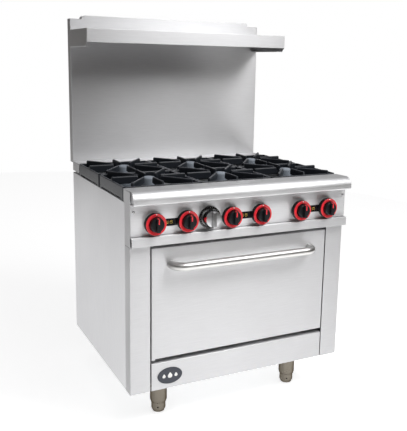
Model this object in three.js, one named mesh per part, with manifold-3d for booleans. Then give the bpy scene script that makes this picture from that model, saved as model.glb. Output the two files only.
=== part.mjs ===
// A six-burner commercial gas range with an oven below, a backguard and a high shelf.
// Millimetres, +Z up. X runs left to right as a cook faces the range.
// Every depth is measured from the front plane of the lower cabinet, and grows towards the back.
import * as THREE from 'three';
import { mergeVertices } from 'three/addons/utils/BufferGeometryUtils.js';
import Module from 'manifold-3d';

const wasm = await Module();
wasm.setup();

// ---------------------------------------------------------------- driving dimensions

const WIDTH = 914;
const OVERALL_DEPTH = 857.5;
const HANDLE_REACH = 62.5;
const OVERALL_HEIGHT = 1540;
const HALF = WIDTH / 2;

const SHEET = 1.5;
const GAP = 0.3;
const MICRON = 0.001;

const LEG_HEIGHT = 152.4;
const SIDE_TOP = 867;
const CABINET_DEPTH = 747;

const POST_DEPTH = 49;
const POST_WIDTH = 78.5;
const POST_TOP = 710.5;
const POST_RETURN_DEPTH = 45;
const DOORWAY_HALF = HALF - POST_WIDTH;

const KICK_TOP = 259.3;
const DOOR_BOTTOM = 277.6;
const DOOR_TOP = 700;
const DOOR_HALF = DOORWAY_HALF - 4;
const DOOR_THICKNESS = 45;
const HINGE_DEPTH = 20;
const HINGE_HEIGHT = 285;
const HINGE_PIN_RADIUS = 5;

const OVEN_HALF = 337;
const OVEN_FRONT = 47;
const OVEN_BACK = 690;
const OVEN_BOTTOM = 264;
const OVEN_FLOOR = 300;
const OVEN_TOP = 656;
const LINER_SHEET = 2;
const RACK_RIB_TOP = 474;

const PANEL_FACE = -9;
const PANEL_BOTTOM = 752;
const PANEL_TOP = 866.5;
const PANEL_RETURN_BOTTOM = 712;
const KNOB_HEIGHT = 794;
const KNOB_OFFSET = 62.5;
const THERMOSTAT_HEIGHT = 798;
const STEM_RADIUS = 3;

const COLUMN_PITCH = WIDTH / 3;
const GRATE_WIDTH = COLUMN_PITCH - 1;
const GRATE_DEPTH = 292.5;
const GRATE_FRONT = 62.5;
const GRATE_SPACING = 4;
const GRATE_BOTTOM = SIDE_TOP + GAP;
const GRATE_RIM = 917;
const FINGER_TOP = 930;

const RAIL_TOP = 780;
const RAIL_DROP = 15;
const RAIL_WIDTH = 40;
const MANIFOLD_RADIUS = 13.35;
const MANIFOLD_DEPTH = 20;
const MANIFOLD_HEIGHT = 766;
const INLET_X = 430;
const INLET_HEIGHT = 735;
const INLET_END = 790;

const TRAY_HALF = 400;
const TRAY_LEDGE = -25;
const TRAY_BOTTOM = 716.3;
const TRAY_LEDGE_TOP = 750.5;

const TRIM_FRONT = 654;
const TRIM_BOTTOM = 875;
const TRIM_TOP = 914;
const BACKGUARD_FACE = 751.6;
const BACKGUARD_BOTTOM = 908;
const BACKGUARD_TOP = 1525;
const BACKGUARD_BACK = 792;
const SHELF_FRONT = 495.7;
const SHELF_TOP = 1478;
const RISER_HALF = 404;
const RISER_BACK = OVERALL_DEPTH - HANDLE_REACH;
const RISER_BOTTOM = 760;

const LEG_X = 297;
const FRONT_LEG_DEPTH = 127;
const REAR_LEG_DEPTH = CABINET_DEPTH - FRONT_LEG_DEPTH;

const SIDES = { left: -1, right: 1 };
const COLUMNS = { left: -COLUMN_PITCH, center: 0, right: COLUMN_PITCH };
const ROWS = {
  front: { depth: GRATE_FRONT + GRATE_DEPTH / 2, knob: -KNOB_OFFSET },
  rear: { depth: GRATE_FRONT + GRATE_DEPTH * 1.5 + GRATE_SPACING, knob: KNOB_OFFSET },
};
const THERMOSTAT_X = -COLUMN_PITCH / 2;

// ---------------------------------------------------------------- materials

const metal = (color, roughness) => new THREE.MeshStandardMaterial({ color, roughness, metalness: 1 });
const coating = (color, roughness) => new THREE.MeshStandardMaterial({ color, roughness, metalness: 0 });

const STAINLESS = metal(0xd2d3d5, 0.34);
const GALVANISED = metal(0xa9acae, 0.55);
const ENAMEL = coating(0x2c2e33, 0.3);
const CAST_IRON = coating(0x1d1e20, 0.6);
const BURNER_IRON = coating(0x6f7a85, 0.55);
const BRASS = metal(0xb28f4a, 0.35);
const PIPE = coating(0x33353a, 0.5);
const CHROME = metal(0xe2e3e5, 0.12);
const KNOB_PLASTIC = coating(0x121214, 0.35);
const LEG_METAL = metal(0x77736a, 0.5);

// ---------------------------------------------------------------- solids

// A closed three.js geometry as a solid, without the flat triangles at a lathe's poles.
// Its points are rounded to a micron, so that faces meant to lie in one plane really do.
function solid(geometry) {
  geometry.deleteAttribute('normal');
  geometry.deleteAttribute('uv');
  const places = geometry.attributes.position.array;
  places.forEach((value, i) => {
    places[i] = Math.round(value / MICRON) * MICRON;
  });
  const merged = mergeVertices(geometry, MICRON / 10);
  const corners = merged.index.array;
  const kept = [];
  for (let i = 0; i < corners.length; i += 3) {
    const [a, b, c] = corners.slice(i, i + 3);
    if (a !== b && b !== c && c !== a) kept.push(a, b, c);
  }
  const mesh = new wasm.Mesh({
    numProp: 3,
    vertProperties: new Float32Array(merged.attributes.position.array),
    triVerts: new Uint32Array(kept),
  });
  return new wasm.Manifold(mesh);
}

const join = (...solids) => solids.reduce((whole, piece) => whole.add(piece));
const cut = (whole, ...tools) => tools.reduce((rest, tool) => rest.subtract(tool), whole);
const ordered = (a, b) => [Math.min(a, b), Math.max(a, b)];
const both = (half) => [-half, half];

function block(x, y, z) {
  const geometry = new THREE.BoxGeometry(x[1] - x[0], y[1] - y[0], z[1] - z[0]);
  geometry.translate((x[0] + x[1]) / 2, (y[0] + y[1]) / 2, (z[0] + z[1]) / 2);
  return solid(geometry);
}

function extruded(outline, length) {
  const shape = new THREE.Shape(outline.map(([a, b]) => new THREE.Vector2(a, b)));
  return new THREE.ExtrudeGeometry(shape, { depth: length, bevelEnabled: false });
}

// An outline of [depth, height] points, drawn out along X.
function prismAlongX(outline, x) {
  const geometry = extruded(outline, x[1] - x[0]);
  const turn = new THREE.Matrix4().makeBasis(
    new THREE.Vector3(0, 1, 0),
    new THREE.Vector3(0, 0, 1),
    new THREE.Vector3(1, 0, 0),
  );
  geometry.applyMatrix4(turn);
  geometry.translate(x[0], 0, 0);
  return solid(geometry);
}

// An outline of [x, depth] points, drawn out along Z.
function prismAlongZ(outline, z) {
  const geometry = extruded(outline, z[1] - z[0]);
  geometry.translate(0, 0, z[0]);
  return solid(geometry);
}

// The outline of a sheet that follows a line of points, thickened to the left of the line.
function folded(line, thickness) {
  const points = line.map(([a, b]) => new THREE.Vector2(a, b));
  const normals = points.slice(1).map((point, i) => {
    const along = point.clone().sub(points[i]).normalize();
    return new THREE.Vector2(-along.y, along.x);
  });
  const inner = points.map((point, i) => {
    const before = normals[Math.max(i - 1, 0)];
    const after = normals[Math.min(i, normals.length - 1)];
    const middle = before.clone().add(after).normalize();
    return point.clone().addScaledVector(middle, thickness / middle.dot(before));
  });
  return [...points, ...inner.reverse()].map((point) => [point.x, point.y]);
}

function rod(from, to, radius, sides = 8) {
  const start = new THREE.Vector3(...from);
  const along = new THREE.Vector3(...to).sub(start);
  const geometry = new THREE.CylinderGeometry(radius, radius, along.length(), sides);
  const turn = new THREE.Quaternion();
  turn.setFromUnitVectors(new THREE.Vector3(0, 1, 0), along.clone().normalize());
  geometry.applyQuaternion(turn);
  geometry.translate(...start.addScaledVector(along, 0.5).toArray());
  return solid(geometry);
}

function ball(centre, radius) {
  const geometry = new THREE.SphereGeometry(radius, 8, 6);
  geometry.translate(...centre);
  return solid(geometry);
}

// A lathe solid standing up along Z. The profile is [radius, height] points.
function turnedUp(profile, x, y, sides = 16) {
  const geometry = new THREE.LatheGeometry(profile.map(([r, h]) => new THREE.Vector2(r, h)), sides);
  geometry.rotateX(Math.PI / 2);
  geometry.translate(x, y, 0);
  return solid(geometry);
}

// A lathe solid that faces the cook. The profile is [radius, reach in front of the cabinet] points.
function turnedForward(profile, x, z, sides = 16) {
  const geometry = new THREE.LatheGeometry(profile.map(([r, h]) => new THREE.Vector2(r, h)), sides);
  geometry.rotateX(Math.PI);
  geometry.translate(x, 0, z);
  return solid(geometry);
}

// ---------------------------------------------------------------- assembly

const range = new THREE.Group();
range.position.y = HANDLE_REACH - OVERALL_DEPTH / 2;

function add(name, shape, material) {
  const result = shape.getMesh();
  const geometry = new THREE.BufferGeometry();
  geometry.setAttribute('position', new THREE.BufferAttribute(result.vertProperties, 3));
  geometry.setIndex(new THREE.BufferAttribute(result.triVerts, 1));
  geometry.computeVertexNormals();
  const mesh = new THREE.Mesh(geometry, material);
  mesh.name = name;
  range.add(mesh);
}

// ---------------------------------------------------------------- cabinet

const INSIDE = HALF - SHEET - GAP;
const TOP_FLANGE = 18;
const RUNNER_WIDTH = 66;

function sidePanel(side) {
  const depth = [POST_DEPTH + GAP, CABINET_DEPTH];
  const runner = [TRAY_BOTTOM - GAP - SHEET, TRAY_BOTTOM - GAP];
  return join(
    block(ordered(side * (HALF - SHEET), side * HALF), depth, [LEG_HEIGHT, SIDE_TOP]),
    block(ordered(side * (HALF - TOP_FLANGE), side * HALF), depth, [SIDE_TOP - SHEET, SIDE_TOP]),
    block(ordered(side * (HALF - RUNNER_WIDTH), side * HALF), [60, 740], runner),
  );
}

function frontPost(side) {
  const height = [LEG_HEIGHT, POST_TOP];
  const outer = ordered(side * (HALF - SHEET), side * HALF);
  const inner = ordered(side * DOORWAY_HALF, side * (DOORWAY_HALF + SHEET));
  const pinHole = rod(
    [side * (DOORWAY_HALF - 5), HINGE_DEPTH, HINGE_HEIGHT],
    [side * (DOORWAY_HALF + 5), HINGE_DEPTH, HINGE_HEIGHT],
    HINGE_PIN_RADIUS + 0.5,
    12,
  );
  const post = join(
    block(outer, [0, POST_DEPTH], height),
    block(ordered(side * DOORWAY_HALF, side * HALF), [0, SHEET], height),
    block(inner, [0, POST_RETURN_DEPTH], height),
  );
  return cut(post, pinHole);
}

function basePan() {
  const thickness = 2;
  const lipTop = LEG_HEIGHT + 18;
  const depth = [POST_DEPTH + 2 * GAP, CABINET_DEPTH - SHEET - GAP];
  return join(
    block(both(INSIDE), depth, [LEG_HEIGHT, LEG_HEIGHT + thickness]),
    block([-INSIDE, -INSIDE + thickness], depth, [LEG_HEIGHT, lipTop]),
    block([INSIDE - thickness, INSIDE], depth, [LEG_HEIGHT, lipTop]),
  );
}

const FLUE_SLOT_HALF = 290;
const FLUE_SLOT = [792, 848];

function rearPanel() {
  const sheet = block(
    both(INSIDE),
    [CABINET_DEPTH - SHEET, CABINET_DEPTH],
    [LEG_HEIGHT, SIDE_TOP - SHEET - GAP],
  );
  const pipeHole = rod(
    [INLET_X, CABINET_DEPTH - 10, INLET_HEIGHT],
    [INLET_X, CABINET_DEPTH + 10, INLET_HEIGHT],
    MANIFOLD_RADIUS + 2.5,
  );
  return cut(sheet, pipeHole, block(both(FLUE_SLOT_HALF), [730, 760], FLUE_SLOT));
}

function kickPanel() {
  const width = both(DOOR_HALF);
  return join(
    block(width, [0, SHEET], [LEG_HEIGHT, KICK_TOP]),
    block(width, [0, POST_RETURN_DEPTH], [KICK_TOP - SHEET, KICK_TOP]),
    block(width, [0, 30], [LEG_HEIGHT, LEG_HEIGHT + SHEET]),
  );
}

for (const [name, side] of Object.entries(SIDES)) {
  add(`${name}_side_panel`, sidePanel(side), STAINLESS);
  add(`${name}_front_post`, frontPost(side), STAINLESS);
}
add('base_pan', basePan(), GALVANISED);
add('rear_panel', rearPanel(), GALVANISED);
add('kick_panel', kickPanel(), STAINLESS);

// ---------------------------------------------------------------- legs and adjustable feet

const LEG_RADIUS = 33.3;
const LEG_END = 40;
const FOOT_RADIUS = 28;
const FOOT_STEM_TOP = 90;

function leg(x, y) {
  const bore = FOOT_RADIUS + 0.5;
  const boreTop = 130;
  const plateRadius = 48;
  const top = LEG_HEIGHT - GAP;
  const plateBottom = top - 3;
  const profile = [
    [0, boreTop], [bore, boreTop], [bore, LEG_END], [bore + 1, LEG_END], [LEG_RADIUS, LEG_END + 14],
    [LEG_RADIUS, plateBottom], [plateRadius, plateBottom], [plateRadius, top], [0, top],
  ];
  return turnedUp(profile, x, y);
}

function foot(x, y) {
  const taper = 12;
  const profile = [
    [0, 0], [FOOT_RADIUS - 6, 0], [FOOT_RADIUS, taper], [FOOT_RADIUS, FOOT_STEM_TOP], [0, FOOT_STEM_TOP],
  ];
  return turnedUp(profile, x, y);
}

for (const [row, depth] of Object.entries({ front: FRONT_LEG_DEPTH, rear: REAR_LEG_DEPTH })) {
  for (const [name, side] of Object.entries(SIDES)) {
    add(`${row}_${name}_leg`, leg(side * LEG_X, depth), LEG_METAL);
    add(`${row}_${name}_foot`, foot(side * LEG_X, depth), LEG_METAL);
  }
}

// ---------------------------------------------------------------- oven

function ovenLiner() {
  const wall = LINER_SHEET;
  const face = [OVEN_FRONT, OVEN_FRONT + wall];
  const shell = cut(
    block(both(OVEN_HALF + wall), [face[1], OVEN_BACK + wall], [OVEN_BOTTOM - wall, OVEN_TOP + wall]),
    block(both(OVEN_HALF), [face[0], OVEN_BACK], [OVEN_BOTTOM, OVEN_TOP]),
  );
  const frame = cut(
    block(both(DOORWAY_HALF - 0.5), face, [OVEN_BOTTOM - wall, DOOR_TOP + 3]),
    block(both(OVEN_HALF), [face[0] - wall, face[1] + wall], [OVEN_FLOOR, OVEN_TOP]),
  );
  const ribs = Object.values(SIDES).flatMap((side) => [RACK_RIB_TOP, OVEN_FLOOR - 2].map((top) => {
    const reach = ordered(side * (OVEN_HALF - 12), side * (OVEN_HALF + wall / 2));
    return block(reach, [60, OVEN_BACK - 8], [top - 4, top]);
  }));
  const flueHole = block(both(60), [OVEN_BACK - 5, OVEN_BACK + 5], [OVEN_TOP - 26, OVEN_TOP - 6]);
  return cut(join(shell, frame, ...ribs), flueHole);
}

function ovenFloorPlate() {
  const clearance = 0.5;
  const bottom = OVEN_FLOOR - 2 + GAP;
  const plate = block(
    both(OVEN_HALF - clearance),
    [OVEN_FRONT + LINER_SHEET + 2, OVEN_BACK - clearance],
    [bottom, bottom + LINER_SHEET],
  );
  const slots = [];
  for (const side of Object.values(SIDES)) {
    for (let depth = 120; depth <= 580; depth += 115) {
      slots.push(block(ordered(side * 290, side * 305), [depth, depth + 70], [OVEN_BOTTOM, OVEN_TOP]));
    }
  }
  return cut(plate, ...slots);
}

function ovenBurner() {
  const radius = 13;
  const height = 281;
  const crossDepth = 560;
  const saddles = [150, 480].map((depth) => (
    block(both(24), [depth, depth + 6], [OVEN_BOTTOM + GAP, height])
  ));
  return join(
    rod([0, 70, height], [0, crossDepth, height], radius),
    rod([-170, crossDepth, height], [170, crossDepth, height], radius),
    ...saddles,
  );
}

function ovenRack() {
  const frameRadius = 3.2;
  const wireRadius = 2.5;
  const height = RACK_RIB_TOP + GAP + frameRadius;
  const half = 328;
  const depth = [75, 655];
  const wires = [];
  for (const side of Object.values(SIDES)) {
    wires.push(rod([side * half, depth[0], height], [side * half, depth[1], height], frameRadius, 6));
  }
  for (const y of [depth[0], 268, 462, depth[1]]) {
    wires.push(rod([-half - frameRadius, y, height], [half + frameRadius, y, height], frameRadius, 6));
  }
  const count = 10;
  for (let i = 1; i < count; i += 1) {
    const x = -half + (2 * half * i) / count;
    wires.push(rod([x, depth[0], height], [x, depth[1], height], wireRadius, 4));
  }
  return join(...wires);
}

add('oven_liner', ovenLiner(), ENAMEL);
add('oven_floor_plate', ovenFloorPlate(), ENAMEL);
add('oven_burner', ovenBurner(), BURNER_IRON);
add('oven_rack', ovenRack(), CHROME);

// ---------------------------------------------------------------- oven door

const DOOR_LINER_FRONT = DOOR_THICKNESS - 10.5;
const CORNER_TAB_WIDTH = 14;
const CORNER_TAB_DROP = 5;

function doorShell() {
  const pan = cut(
    block(both(DOOR_HALF), [0, DOOR_THICKNESS], [DOOR_BOTTOM, DOOR_TOP]),
    block(both(DOOR_HALF - SHEET), [SHEET, DOOR_THICKNESS + 1], [DOOR_BOTTOM + SHEET, DOOR_TOP - SHEET]),
  );
  const pinHole = rod(
    [-DOOR_HALF - 5, HINGE_DEPTH, HINGE_HEIGHT],
    [DOOR_HALF + 5, HINGE_DEPTH, HINGE_HEIGHT],
    HINGE_PIN_RADIUS + 0.4,
    12,
  );
  const cornerTab = block(
    [-DOOR_HALF, -DOOR_HALF + CORNER_TAB_WIDTH],
    [0, SHEET],
    [DOOR_BOTTOM - CORNER_TAB_DROP, DOOR_BOTTOM + SHEET],
  );
  return cut(join(pan, cornerTab), pinHole);
}

// The inner skin: a shallow pan, with a pocket pressed into it that faces the oven.
function doorLiner() {
  const border = 42;
  const half = DOOR_HALF - SHEET - GAP;
  const back = DOOR_THICKNESS - GAP;
  const bottom = DOOR_BOTTOM + SHEET + GAP;
  const top = DOOR_TOP - SHEET - GAP;
  const pan = cut(
    block(both(half), [DOOR_LINER_FRONT, back], [bottom, top]),
    block(both(half - SHEET), [DOOR_LINER_FRONT - 1, back - SHEET], [bottom + SHEET, top - SHEET]),
  );
  const press = block(both(half - border + SHEET), [DOOR_LINER_FRONT, back],
    [bottom + border - SHEET, top - border + SHEET]);
  const pocket = block(both(half - border), [DOOR_LINER_FRONT + SHEET, back + 1],
    [bottom + border, top - border]);
  return cut(join(pan, press), pocket);
}

const HANDLE_RADIUS = 16;
const HANDLE_HEIGHT = 633.5;
const HANDLE_HALF = 298.5;
const HANDLE_BEND = 45;

function doorHandle() {
  const bar = -(HANDLE_REACH - HANDLE_RADIUS);
  const point = (x, y) => new THREE.Vector3(x, y, HANDLE_HEIGHT);
  const straight = HANDLE_HALF - HANDLE_BEND;
  const route = new THREE.CurvePath();
  route.add(new THREE.LineCurve3(point(-HANDLE_HALF, -GAP), point(-HANDLE_HALF, bar + HANDLE_BEND)));
  route.add(new THREE.QuadraticBezierCurve3(
    point(-HANDLE_HALF, bar + HANDLE_BEND),
    point(-HANDLE_HALF, bar),
    point(-straight, bar),
  ));
  route.add(new THREE.LineCurve3(point(-straight, bar), point(straight, bar)));
  route.add(new THREE.QuadraticBezierCurve3(
    point(straight, bar),
    point(HANDLE_HALF, bar),
    point(HANDLE_HALF, bar + HANDLE_BEND),
  ));
  route.add(new THREE.LineCurve3(point(HANDLE_HALF, bar + HANDLE_BEND), point(HANDLE_HALF, -GAP)));
  const section = new THREE.Shape();
  section.absarc(0, 0, HANDLE_RADIUS, 0, 2 * Math.PI, false);
  return solid(new THREE.ExtrudeGeometry(section, { extrudePath: route, steps: 26, curveSegments: 6 }));
}

function doorHinge(side) {
  const plate = ordered(side * (DOOR_HALF - SHEET - 12), side * (DOOR_HALF - SHEET - GAP));
  return join(
    block(plate, [8, DOOR_LINER_FRONT - GAP], [DOOR_BOTTOM + SHEET + GAP, 340]),
    rod(
      [side * (DOOR_HALF - 5), HINGE_DEPTH, HINGE_HEIGHT],
      [side * (DOORWAY_HALF + 7), HINGE_DEPTH, HINGE_HEIGHT],
      HINGE_PIN_RADIUS,
      12,
    ),
  );
}

add('door_shell', doorShell(), STAINLESS);
add('door_liner', doorLiner(), ENAMEL);
add('door_handle', doorHandle(), CHROME);
for (const [name, side] of Object.entries(SIDES)) {
  add(`door_hinge_${name}`, doorHinge(side), GALVANISED);
}

// ---------------------------------------------------------------- control panel, bullnose and crumb tray

const KNOB_RADIUS = 26.5;
const KNOB_BACK = 12;
const BEZEL_RADIUS = 39;
const THERMOSTAT_RADIUS = 33;

const knobPlaces = Object.entries(COLUMNS).flatMap(([column, x]) => (
  Object.entries(ROWS).map(([row, { knob }]) => ({ name: `${column}_${row}`, x: x + knob }))
));

// A collar that stands on the panel around a knob.
function collar(x, z, outer, inner, reach) {
  const root = -PANEL_FACE - SHEET / 2;
  return turnedForward([[inner, root], [outer, root], [outer, reach], [inner, reach], [inner, root]], x, z);
}

function controlPanel() {
  const face = [PANEL_FACE, PANEL_FACE + SHEET];
  const returnBack = 58.5;
  const returnTop = 911;
  const returnOutline = [
    [PANEL_FACE, PANEL_RETURN_BOTTOM], [POST_DEPTH, PANEL_RETURN_BOTTOM], [POST_DEPTH, SIDE_TOP + GAP],
    [returnBack, SIDE_TOP + GAP], [returnBack, returnTop], [PANEL_FACE, returnTop],
  ];
  const returns = Object.values(SIDES).map((side) => (
    prismAlongX(returnOutline, ordered(side * (HALF - SHEET), side * HALF))
  ));
  const stemHole = (x, z) => rod([x, -20, z], [x, 10, z], STEM_RADIUS * 2);
  const bezelReach = 30;
  const thermostatReach = 16;
  return cut(
    join(
      block(both(HALF), face, [PANEL_BOTTOM, PANEL_TOP]),
      ...returns,
      ...knobPlaces.map(({ x }) => collar(x, KNOB_HEIGHT, BEZEL_RADIUS, KNOB_RADIUS + 1.3, bezelReach)),
      collar(THERMOSTAT_X, THERMOSTAT_HEIGHT, 40.5, THERMOSTAT_RADIUS + 1.2, thermostatReach),
    ),
    ...knobPlaces.map(({ x }) => stemHole(x, KNOB_HEIGHT)),
    stemHole(THERMOSTAT_X, THERMOSTAT_HEIGHT),
  );
}

function bullnoseRail() {
  const thickness = 2;
  const back = 61;
  const noseRadius = 35;
  const noseCentre = [-12, 881];
  const line = [[back, 871], [back, TRIM_TOP]];
  const steps = 8;
  for (let i = 0; i <= steps; i += 1) {
    const angle = (Math.PI / 2) * (1 + i / steps);
    line.push([
      noseCentre[0] + noseRadius * Math.cos(angle),
      noseCentre[1] + noseRadius * Math.sin(angle),
    ]);
  }
  line.push([-45.5, 873], [-40, SIDE_TOP], [-28, SIDE_TOP]);
  const capInset = 3;
  const capBottom = 874;
  const capBack = PANEL_FACE - GAP;
  const nose = line.filter(([depth, height]) => depth < noseCentre[0] - 1 && height > capBottom);
  const capOutline = [[capBack, capBottom], [capBack, TRIM_TOP], ...nose, [-45, capBottom]];
  const caps = Object.values(SIDES).map((side) => (
    prismAlongX(capOutline, ordered(side * (HALF - capInset - SHEET), side * (HALF - capInset)))
  ));
  return join(prismAlongX(folded(line, thickness), both(HALF)), ...caps);
}

function crumbTray() {
  const wallTop = 745;
  const back = 700;
  const lipBack = -10;
  const height = [TRAY_BOTTOM, wallTop];
  const ledge = [
    [lipBack, TRAY_LEDGE_TOP],
    [TRAY_LEDGE, TRAY_LEDGE_TOP],
    [TRAY_LEDGE, TRAY_BOTTOM],
    [lipBack, TRAY_BOTTOM],
  ];
  const walls = Object.values(SIDES).map((side) => (
    block(ordered(side * (TRAY_HALF - SHEET), side * TRAY_HALF), [TRAY_LEDGE + SHEET / 2, back], height)
  ));
  return join(
    prismAlongX(folded(ledge, SHEET), both(HALF)),
    block(both(TRAY_HALF), [TRAY_LEDGE + SHEET / 2, back], [TRAY_BOTTOM, TRAY_BOTTOM + SHEET]),
    block(both(TRAY_HALF), [back - SHEET, back], height),
    ...walls,
  );
}

add('control_panel', controlPanel(), STAINLESS);
add('bullnose_rail', bullnoseRail(), STAINLESS);
add('crumb_tray', crumbTray(), STAINLESS);

// ---------------------------------------------------------------- knobs

const BORE_RADIUS = STEM_RADIUS + 0.4;
const BORE_REACH = 36;
const STEM_REACH = 34;

function grip(x, z, width, length, reach) {
  return block([x - width / 2, x + width / 2], [-reach, -42], [z - length / 2, z + length / 2]);
}

function burnerKnob(x) {
  const profile = [
    [0, BORE_REACH], [BORE_RADIUS, BORE_REACH], [BORE_RADIUS, KNOB_BACK], [KNOB_RADIUS, KNOB_BACK],
    [KNOB_RADIUS, 38], [KNOB_RADIUS - 3, 44], [0, 44],
  ];
  return join(turnedForward(profile, x, KNOB_HEIGHT), grip(x, KNOB_HEIGHT, 13, 49, 56));
}

function thermostatKnob() {
  const profile = [
    [0, BORE_REACH], [BORE_RADIUS, BORE_REACH], [BORE_RADIUS, KNOB_BACK], [THERMOSTAT_RADIUS, KNOB_BACK],
    [THERMOSTAT_RADIUS, 20], [THERMOSTAT_RADIUS - 1, 40], [THERMOSTAT_RADIUS - 4, 44], [0, 44],
  ];
  return join(
    turnedForward(profile, THERMOSTAT_X, THERMOSTAT_HEIGHT),
    grip(THERMOSTAT_X, THERMOSTAT_HEIGHT, 10, 58, 56),
  );
}

for (const { name, x } of knobPlaces) {
  add(`${name}_knob`, burnerKnob(x), KNOB_PLASTIC);
}
add('thermostat_knob', thermostatKnob(), CHROME);

// ---------------------------------------------------------------- gas train and burners

function gasManifold() {
  const left = [-TRAY_HALF, MANIFOLD_DEPTH, MANIFOLD_HEIGHT];
  const upper = [INLET_X, MANIFOLD_DEPTH, MANIFOLD_HEIGHT];
  const lower = [INLET_X, MANIFOLD_DEPTH, INLET_HEIGHT];
  const inlet = [INLET_X, INLET_END, INLET_HEIGHT];
  const elbow = MANIFOLD_RADIUS + 1;
  const bore = rod([INLET_X, INLET_END - 30, INLET_HEIGHT], [INLET_X, INLET_END + 5, INLET_HEIGHT], 10);
  const pipe = join(
    rod(left, upper, MANIFOLD_RADIUS),
    ball(upper, elbow),
    rod(upper, lower, MANIFOLD_RADIUS),
    ball(lower, elbow),
    rod(lower, inlet, MANIFOLD_RADIUS),
  );
  return cut(pipe, bore);
}

const VALVE_BOTTOM = MANIFOLD_HEIGHT + MANIFOLD_RADIUS + GAP;

function burnerValve(x) {
  return join(
    rod([x, MANIFOLD_DEPTH, VALVE_BOTTOM], [x, MANIFOLD_DEPTH, KNOB_HEIGHT + 12], 9),
    rod([x, -5, KNOB_HEIGHT], [x, 40, KNOB_HEIGHT], 11),
    rod([x, -STEM_REACH, KNOB_HEIGHT], [x, 0, KNOB_HEIGHT], STEM_RADIUS),
    rod([x, 38, KNOB_HEIGHT], [x, 54, KNOB_HEIGHT], 5),
  );
}

function thermostatValve() {
  const half = 22;
  return join(
    block([THERMOSTAT_X - half, THERMOSTAT_X + half], [-5, 42], [VALVE_BOTTOM, THERMOSTAT_HEIGHT + 28]),
    rod(
      [THERMOSTAT_X, -STEM_REACH, THERMOSTAT_HEIGHT],
      [THERMOSTAT_X, 0, THERMOSTAT_HEIGHT],
      STEM_RADIUS,
    ),
  );
}

function burnerRail(depth) {
  const near = depth - RAIL_WIDTH / 2;
  const far = depth + RAIL_WIDTH / 2;
  const bottom = RAIL_TOP - RAIL_DROP;
  const line = [[far, bottom], [far, RAIL_TOP], [near, RAIL_TOP], [near, bottom]];
  return prismAlongX(folded(line, SHEET), both(INSIDE));
}

// A burner head with the mixing tube that leads back to it from its valve.
function burner(centre, depth, tubeX) {
  const head = [
    [0, RAIL_TOP + GAP], [18, RAIL_TOP + GAP], [18, 815], [36, 838], [40, 850], [40, 868],
    [25, 876], [25, 914], [21, 921], [17, 924], [0, 924],
  ];
  const tubeRadius = 12;
  const mouth = 58;
  const bend = [tubeX, depth - 90, KNOB_HEIGHT];
  return join(
    turnedUp(head, centre, depth),
    rod([tubeX, mouth, KNOB_HEIGHT], [tubeX, mouth + 18, KNOB_HEIGHT], tubeRadius + 1.5),
    rod([tubeX, mouth + 10, KNOB_HEIGHT], bend, tubeRadius),
    ball(bend, tubeRadius),
    rod(bend, [centre, depth, KNOB_HEIGHT], tubeRadius),
  );
}

add('gas_manifold', gasManifold(), PIPE);
add('thermostat_valve', thermostatValve(), BRASS);
for (const { name, x } of knobPlaces) {
  add(`${name}_valve`, burnerValve(x), BRASS);
}
for (const [row, { depth, knob }] of Object.entries(ROWS)) {
  add(`${row}_burner_rail`, burnerRail(depth), GALVANISED);
  for (const [column, x] of Object.entries(COLUMNS)) {
    add(`${column}_${row}_burner`, burner(x, depth, x + knob), BURNER_IRON);
  }
}

// ---------------------------------------------------------------- grates

const RIM_WALL = 8;
const CORNER_RADIUS = 12;
const FINGER_HALF = 5;

function roundedRectangle(halfX, halfY, radius) {
  const outline = [];
  const steps = 3;
  for (let corner = 0; corner < 4; corner += 1) {
    const startAngle = (corner * Math.PI) / 2;
    const middle = startAngle + Math.PI / 4;
    const centreX = Math.sign(Math.cos(middle)) * (halfX - radius);
    const centreY = Math.sign(Math.sin(middle)) * (halfY - radius);
    for (let i = 0; i <= steps; i += 1) {
      const angle = startAngle + (i / steps) * (Math.PI / 2);
      outline.push([centreX + radius * Math.cos(angle), centreY + radius * Math.sin(angle)]);
    }
  }
  return outline;
}

// A fin from the rim towards the burner, from one [x, depth] point to another.
function finger(from, to) {
  const along = new THREE.Vector2(to[0] - from[0], to[1] - from[1]).normalize();
  const side = new THREE.Vector2(-along.y, along.x).multiplyScalar(FINGER_HALF);
  const outline = [
    [from[0] + side.x, from[1] + side.y], [to[0] + side.x, to[1] + side.y],
    [to[0] - side.x, to[1] - side.y], [from[0] - side.x, from[1] - side.y],
  ];
  return prismAlongZ(outline, [FINGER_TOP - 30, FINGER_TOP]);
}

function grate(x, y) {
  const halfX = GRATE_WIDTH / 2;
  const halfY = GRATE_DEPTH / 2;
  const skirt = cut(
    prismAlongZ(roundedRectangle(halfX, halfY, CORNER_RADIUS), [GRATE_BOTTOM, GRATE_RIM]),
    prismAlongZ(roundedRectangle(halfX - RIM_WALL, halfY - RIM_WALL, CORNER_RADIUS - RIM_WALL / 2),
      [GRATE_BOTTOM - 1, GRATE_RIM + 1]),
    block(both(halfX - 26), [-halfY - 1, halfY + 1], [GRATE_BOTTOM - 1, GRATE_BOTTOM + 7]),
    block([-halfX - 1, halfX + 1], both(halfY - 26), [GRATE_BOTTOM - 1, GRATE_BOTTOM + 7]),
  );
  const opening = 45;
  const diagonalStart = [118, halfY - 5];
  const diagonalEnd = [35, 32];
  const fingers = [];
  for (const a of Object.values(SIDES)) {
    fingers.push(finger([a * (halfX - 4), 0], [a * opening, 0]));
    fingers.push(finger([0, a * (halfY - 4)], [0, a * opening]));
    for (const b of Object.values(SIDES)) {
      const start = [a * diagonalStart[0], b * diagonalStart[1]];
      fingers.push(finger(start, [a * diagonalEnd[0], b * diagonalEnd[1]]));
    }
  }
  return join(skirt, ...fingers).translate([x, y, 0]);
}

for (const [row, { depth }] of Object.entries(ROWS)) {
  for (const [column, x] of Object.entries(COLUMNS)) {
    add(`${column}_${row}_grate`, grate(x, depth), CAST_IRON);
  }
}

// ---------------------------------------------------------------- backguard, riser and high shelf

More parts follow.
